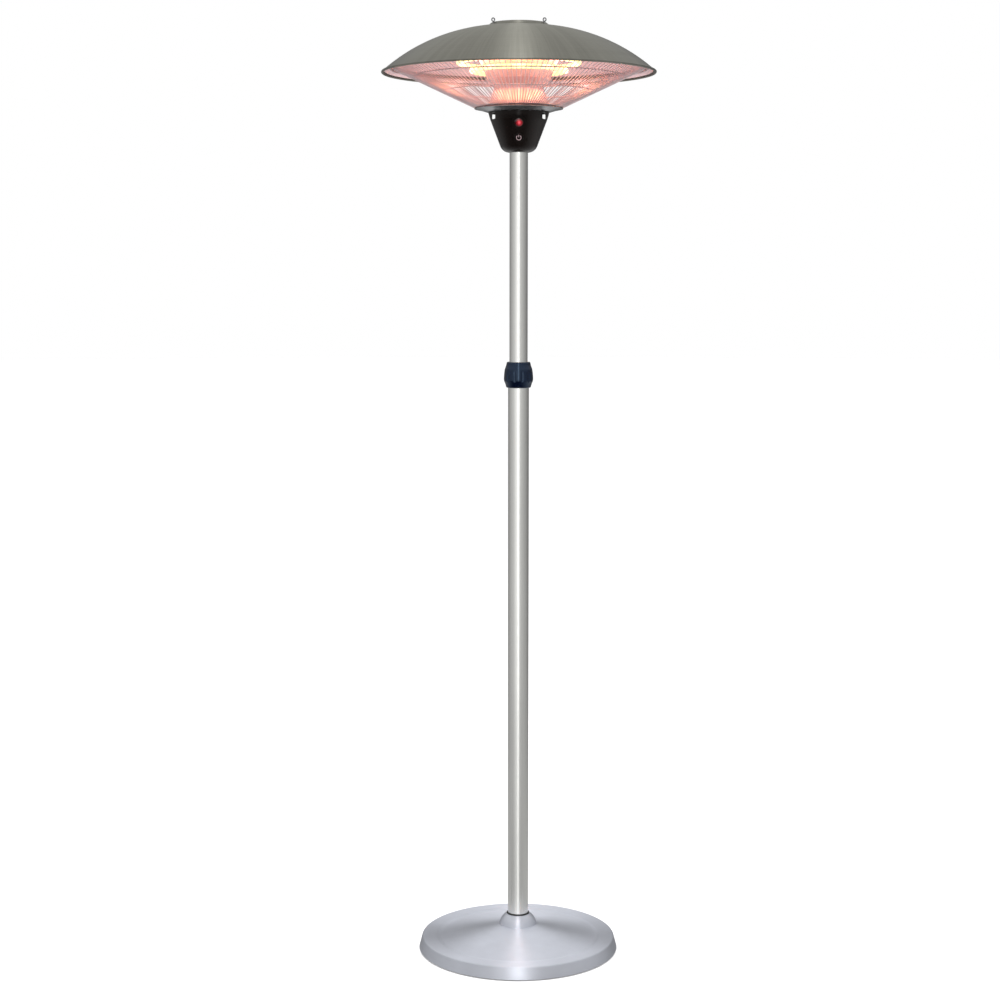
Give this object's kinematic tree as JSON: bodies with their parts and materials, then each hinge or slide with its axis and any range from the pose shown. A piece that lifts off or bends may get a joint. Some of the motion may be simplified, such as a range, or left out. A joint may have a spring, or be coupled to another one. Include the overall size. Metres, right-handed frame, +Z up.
{
  "type": "outdoor heater",
  "caption": "Free-standing electric patio heater: round base, height-adjustable pole with twist lock, control housing, glowing ring lamps and wire guard under a round shade.",
  "frame": {"origin": "on the floor, under the axis of the pole, at the centre of the base", "axes": "+Z up along the pole; -Y is the front, where the power button and the receiver window are; +X to the right as seen from the front"},
  "size_m": [0.595, 0.595, 2.0681],
  "materials": {
    "spun_aluminium": "spun, satin",
    "tube_steel": "satin, brushed along the tube",
    "shade_steel": "brushed",
    "polished_aluminium": "polished",
    "zinc_steel": "zinc plated",
    "guard_steel": "dark, satin",
    "pan_steel": "dark, semi gloss",
    "band_steel": "black, glossy",
    "concrete": "cast",
    "rubber": "matt",
    "collar_plastic": "glossy",
    "housing_plastic": "glossy",
    "nylon": "moulded",
    "black_nylon": "moulded",
    "window_red": "tinted, glossy",
    "led_red": "lit",
    "symbol": "printed",
    "board": "solder mask",
    "relay": "moulded",
    "ceramic": "unglazed",
    "lamp_glass": "lit quartz",
    "filament": "glowing",
    "lead_sleeve": "glass-fibre sleeve"
  },
  "bodies": {
    "base": {"base_cover": "spun_aluminium", "base_weight": "concrete", "base_bottom_plate": "pan_steel", "base_feet": "rubber", "base_plate_screws": "zinc_steel", "pole_socket": "zinc_steel", "pole_bolt": "zinc_steel", "pole_washer": "zinc_steel", "pole_seal_ring": "rubber", "lower_tube": "tube_steel", "upper_guide_bush": "nylon", "collet_sleeve": "black_nylon"},
    "collar": {"lock_collar": "collar_plastic"},
    "guide": {"lower_guide_bush": "nylon"},
    "button": {"power_button": "housing_plastic", "power_symbol": "symbol"},
    "head": {"upper_tube": "tube_steel", "mast_end_plug": "black_nylon", "guide_circlip": "zinc_steel", "head_bracket": "zinc_steel", "bracket_screws": "zinc_steel", "tie_rods": "zinc_steel", "rod_spacers": "zinc_steel", "tie_rod_nuts": "zinc_steel", "control_housing": "housing_plastic", "housing_screws": "zinc_steel", "window_bezel": "housing_plastic", "receiver_window": "window_red", "status_led": "led_red", "control_board": "board", "board_screws": "zinc_steel", "relays": "relay", "power_switch": "black_nylon", "carrier_plate": "zinc_steel", "terminal_block": "ceramic", "tilt_switch": "relay", "thermal_cutout": "ceramic", "gland_body": "black_nylon", "gland_cap": "black_nylon", "gland_locknut": "black_nylon", "guard_pan": "pan_steel", "guard_wires": "guard_steel", "guard_ring_bottom": "band_steel", "guard_ring_inner": "guard_steel", "guard_ring_outer": "guard_steel", "guard_ring_top": "guard_steel", "guard_clips": "zinc_steel", "lower_reflector": "polished_aluminium", "upper_reflector": "polished_aluminium", "ceiling_reflector": "polished_aluminium", "lamp_tubes": "lamp_glass", "lamp_filaments": "filament", "lamp_end_caps": "ceramic", "lamp_clips": "zinc_steel", "lamp_leads": "lead_sleeve", "centre_rod": "zinc_steel", "shade_dome": "shade_steel", "shade_lip": "polished_aluminium", "top_cap": "shade_steel", "eyelets": "pan_steel"}
  },
  "joints": [
    {"name": "mast_slide", "type": "slide", "parent": "base", "child": "guide", "axis": [0, 0, 1], "range_m": [-0.43, 0.03]},
    {"name": "mast_swivel", "type": "hinge", "parent": "guide", "child": "head", "pos_m": [0, 0, 1.145], "axis": [0, 0, 1], "continuous": true},
    {"name": "collar_twist", "type": "hinge", "parent": "base", "child": "collar", "pos_m": [0, 0, 1.305], "axis": [0, 0, 1], "range_deg": [0, 120]},
    {"name": "power_press", "type": "slide", "parent": "head", "child": "button", "axis": [0, 0.9343, 0.3566], "range_m": [0, 0.0015], "stiffness_N_per_m": 600, "springref_m": -0.001}
  ]
}
